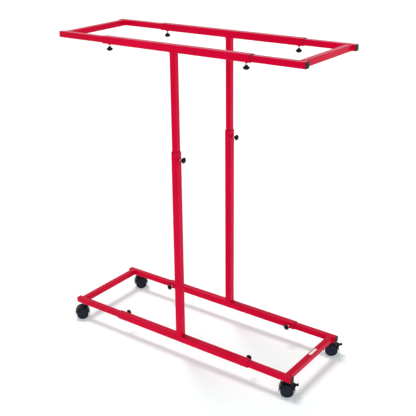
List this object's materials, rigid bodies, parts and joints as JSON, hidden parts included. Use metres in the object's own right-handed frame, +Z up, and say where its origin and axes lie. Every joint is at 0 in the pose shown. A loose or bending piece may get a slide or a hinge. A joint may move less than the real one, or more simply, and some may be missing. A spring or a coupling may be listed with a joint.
{
  "type": "hanging file rack",
  "caption": "Mobile square-tube hanging rack with a telescopic height, sliding end frames clamped by thumbscrews, and braked twin-wheel casters.",
  "frame": {"origin": "on the floor, at the centre of the rack's outline seen from above", "axes": "+X along the rails to the end with the braked casters, +Y to the back, +Z up"},
  "size_m": [1.2204, 0.4868, 1.381],
  "materials": {
    "red_paint": "glossy powder coat",
    "plug_black": "moulded, satin",
    "knob_black": "moulded, semi-gloss",
    "caster_black": "moulded, satin",
    "wheel_nylon": "moulded nylon, satin",
    "zinc_steel": "bright zinc plate",
    "label_white": "coated label film"
  },
  "bodies": {
    "base_frame": {"base_rail_front": "red_paint", "base_rail_back": "red_paint", "lower_post_front": "red_paint", "lower_post_back": "red_paint", "base_weld_nuts": "red_paint", "post_weld_nuts": "red_paint"},
    "top_frame": {"top_rail_front": "red_paint", "top_rail_back": "red_paint", "upper_post_front": "red_paint", "upper_post_back": "red_paint", "top_weld_nuts": "red_paint"},
    "base_left_end_frame": {"base_left_arm_front": "red_paint", "base_left_arm_back": "red_paint", "base_left_crossbar": "red_paint", "base_left_end_plugs": "plug_black", "left_caster_stems": "zinc_steel", "left_stem_nuts": "zinc_steel"},
    "base_right_end_frame": {"base_right_arm_front": "red_paint", "base_right_arm_back": "red_paint", "base_right_crossbar": "red_paint", "base_right_end_plugs": "plug_black", "right_caster_stems": "zinc_steel", "right_stem_nuts": "zinc_steel", "blank_label": "label_white"},
    "top_left_end_frame": {"top_left_arm_front": "red_paint", "top_left_arm_back": "red_paint", "top_left_crossbar": "red_paint", "top_left_end_plugs": "plug_black"},
    "top_right_end_frame": {"top_right_arm_front": "red_paint", "top_right_arm_back": "red_paint", "top_right_crossbar": "red_paint", "top_right_end_plugs": "plug_black"},
    "caster_front_left": {"caster_front_left_hood": "caster_black", "caster_front_left_axle": "zinc_steel"},
    "caster_front_left_wheel_front": {"caster_front_left_wheel_front": "wheel_nylon"},
    "caster_front_left_wheel_back": {"caster_front_left_wheel_back": "wheel_nylon"},
    "caster_front_right": {"caster_front_right_hood": "caster_black", "caster_front_right_axle": "zinc_steel"},
    "caster_front_right_wheel_front": {"caster_front_right_wheel_front": "wheel_nylon"},
    "caster_front_right_wheel_back": {"caster_front_right_wheel_back": "wheel_nylon"},
    "brake_lever_front": {"brake_lever_front": "caster_black"},
    "caster_back_left": {"caster_back_left_hood": "caster_black", "caster_back_left_axle": "zinc_steel"},
    "caster_back_left_wheel_front": {"caster_back_left_wheel_front": "wheel_nylon"},
    "caster_back_left_wheel_back": {"caster_back_left_wheel_back": "wheel_nylon"},
    "caster_back_right": {"caster_back_right_hood": "caster_black", "caster_back_right_axle": "zinc_steel"},
    "caster_back_right_wheel_front": {"caster_back_right_wheel_front": "wheel_nylon"},
    "caster_back_right_wheel_back": {"caster_back_right_wheel_back": "wheel_nylon"},
    "brake_lever_back": {"brake_lever_back": "caster_black"},
    "thumbscrew_base_front_left": {"thumbscrew_base_front_left": "knob_black"},
    "thumbscrew_base_front_right": {"thumbscrew_base_front_right": "knob_black"},
    "thumbscrew_base_back_left": {"thumbscrew_base_back_left": "knob_black"},
    "thumbscrew_base_back_right": {"thumbscrew_base_back_right": "knob_black"},
    "thumbscrew_top_front_left": {"thumbscrew_top_front_left": "knob_black"},
    "thumbscrew_top_front_right": {"thumbscrew_top_front_right": "knob_black"},
    "thumbscrew_top_back_left": {"thumbscrew_top_back_left": "knob_black"},
    "thumbscrew_top_back_right": {"thumbscrew_top_back_right": "knob_black"},
    "thumbscrew_post_front": {"thumbscrew_post_front": "knob_black"},
    "thumbscrew_post_back": {"thumbscrew_post_back": "knob_black"}
  },
  "joints": [
    {"name": "height_slide", "type": "slide", "parent": "base_frame", "child": "top_frame", "axis": [0, 0, 1], "range_m": [-0.4, 0.25]},
    {"name": "base_left_end_slide", "type": "slide", "parent": "base_frame", "child": "base_left_end_frame", "axis": [-1, 0, 0], "range_m": [-0.164, 0.076]},
    {"name": "base_right_end_slide", "type": "slide", "parent": "base_frame", "child": "base_right_end_frame", "axis": [1, 0, 0], "range_m": [-0.108, 0.132]},
    {"name": "top_left_end_slide", "type": "slide", "parent": "top_frame", "child": "top_left_end_frame", "axis": [-1, 0, 0], "range_m": [-0.152, 0.088]},
    {"name": "top_right_end_slide", "type": "slide", "parent": "top_frame", "child": "top_right_end_frame", "axis": [1, 0, 0], "range_m": [-0.128, 0.112]},
    {"name": "caster_front_left_swivel", "type": "hinge", "parent": "base_left_end_frame", "child": "caster_front_left", "pos_m": [-0.55681, -0.19, 0.05], "axis": [0, 0, 1], "continuous": true},
    {"name": "caster_front_left_wheel_front_spin", "type": "hinge", "parent": "caster_front_left", "child": "caster_front_left_wheel_front", "pos_m": [-0.56954, -0.20273, 0.028], "axis": [0.7071, -0.7071, 0], "continuous": true},
    {"name": "caster_front_left_wheel_back_spin", "type": "hinge", "parent": "caster_front_left", "child": "caster_front_left_wheel_back", "pos_m": [-0.56954, -0.20273, 0.028], "axis": [0.7071, -0.7071, 0], "continuous": true},
    {"name": "caster_front_right_swivel", "type": "hinge", "parent": "base_right_end_frame", "child": "caster_front_right", "pos_m": [0.54519, -0.19, 0.05], "axis": [0, 0, 1], "continuous": true},
    {"name": "caster_front_right_wheel_front_spin", "type": "hinge", "parent": "caster_front_right", "child": "caster_front_right_wheel_front", "pos_m": [0.56078, -0.181, 0.028], "axis": [-0.5, 0.866, 0], "continuous": true},
    {"name": "caster_front_right_wheel_back_spin", "type": "hinge", "parent": "caster_front_right", "child": "caster_front_right_wheel_back", "pos_m": [0.56078, -0.181, 0.028], "axis": [-0.5, 0.866, 0], "continuous": true},
    {"name": "brake_lever_front_press", "type": "hinge", "parent": "caster_front_right", "child": "brake_lever_front", "pos_m": [0.58759, -0.16552, 0.04734], "axis": [-0.5, 0.866, 0], "range_deg": [0, 25]},
    {"name": "caster_back_left_swivel", "type": "hinge", "parent": "base_left_end_frame", "child": "caster_back_left", "pos_m": [-0.55681, 0.19, 0.05], "axis": [0, 0, 1], "continuous": true},
    {"name": "caster_back_left_wheel_front_spin", "type": "hinge", "parent": "caster_back_left", "child": "caster_back_left_wheel_front", "pos_m": [-0.54408, 0.20273, 0.028], "axis": [-0.7071, 0.7071, 0], "continuous": true},
    {"name": "caster_back_left_wheel_back_spin", "type": "hinge", "parent": "caster_back_left", "child": "caster_back_left_wheel_back", "pos_m": [-0.54408, 0.20273, 0.028], "axis": [-0.7071, 0.7071, 0], "continuous": true},
    {"name": "caster_back_right_swivel", "type": "hinge", "parent": "base_right_end_frame", "child": "caster_back_right", "pos_m": [0.54519, 0.19, 0.05], "axis": [0, 0, 1], "continuous": true},
    {"name": "caster_back_right_wheel_front_spin", "type": "hinge", "parent": "caster_back_right", "child": "caster_back_right_wheel_front", "pos_m": [0.56078, 0.199, 0.028], "axis": [-0.5, 0.866, 0], "continuous": true},
    {"name": "caster_back_right_wheel_back_spin", "type": "hinge", "parent": "caster_back_right", "child": "caster_back_right_wheel_back", "pos_m": [0.56078, 0.199, 0.028], "axis": [-0.5, 0.866, 0], "continuous": true},
    {"name": "brake_lever_back_press", "type": "hinge", "parent": "caster_back_right", "child": "brake_lever_back", "pos_m": [0.58759, 0.21448, 0.04734], "axis": [-0.5, 0.866, 0], "range_deg": [0, 25]},
    {"name": "thumbscrew_base_front_left_turn", "type": "hinge", "parent": "base_frame", "child": "thumbscrew_base_front_left", "pos_m": [-0.31281, -0.175, 0.086], "axis": [0, 1, 0], "range_deg": [0, 720]},
    {"name": "thumbscrew_base_front_right_turn", "type": "hinge", "parent": "base_frame", "child": "thumbscrew_base_front_right", "pos_m": [0.35719, -0.175, 0.086], "axis": [0, 1, 0], "range_deg": [0, 720]},
    {"name": "thumbscrew_base_back_left_turn", "type": "hinge", "parent": "base_frame", "child": "thumbscrew_base_back_left", "pos_m": [-0.31281, 0.175, 0.086], "axis": [0, -1, 0], "range_deg": [0, 720]},
    {"name": "thumbscrew_base_back_right_turn", "type": "hinge", "parent": "base_frame", "child": "thumbscrew_base_back_right", "pos_m": [0.35719, 0.175, 0.086], "axis": [0, -1, 0], "range_deg": [0, 720]},
    {"name": "thumbscrew_top_front_left_turn", "type": "hinge", "parent": "top_frame", "child": "thumbscrew_top_front_left", "pos_m": [-0.31281, -0.19, 1.351], "axis": [0, 0, -1], "range_deg": [0, 720]},
    {"name": "thumbscrew_top_front_right_turn", "type": "hinge", "parent": "top_frame", "child": "thumbscrew_top_front_right", "pos_m": [0.35719, -0.19, 1.351], "axis": [0, 0, -1], "range_deg": [0, 720]},
    {"name": "thumbscrew_top_back_left_turn", "type": "hinge", "parent": "top_frame", "child": "thumbscrew_top_back_left", "pos_m": [-0.31281, 0.19, 1.351], "axis": [0, 0, -1], "range_deg": [0, 720]},
    {"name": "thumbscrew_top_back_right_turn", "type": "hinge", "parent": "top_frame", "child": "thumbscrew_top_back_right", "pos_m": [0.35719, 0.19, 1.351], "axis": [0, 0, -1], "range_deg": [0, 720]},
    {"name": "thumbscrew_post_front_turn", "type": "hinge", "parent": "base_frame", "child": "thumbscrew_post_front", "pos_m": [0.03719, -0.19, 0.916], "axis": [1, 0, 0], "range_deg": [0, 720]},
    {"name": "thumbscrew_post_back_turn", "type": "hinge", "parent": "base_frame", "child": "thumbscrew_post_back", "pos_m": [0.03719, 0.19, 0.916], "axis": [1, 0, 0], "range_deg": [0, 720]}
  ]
}
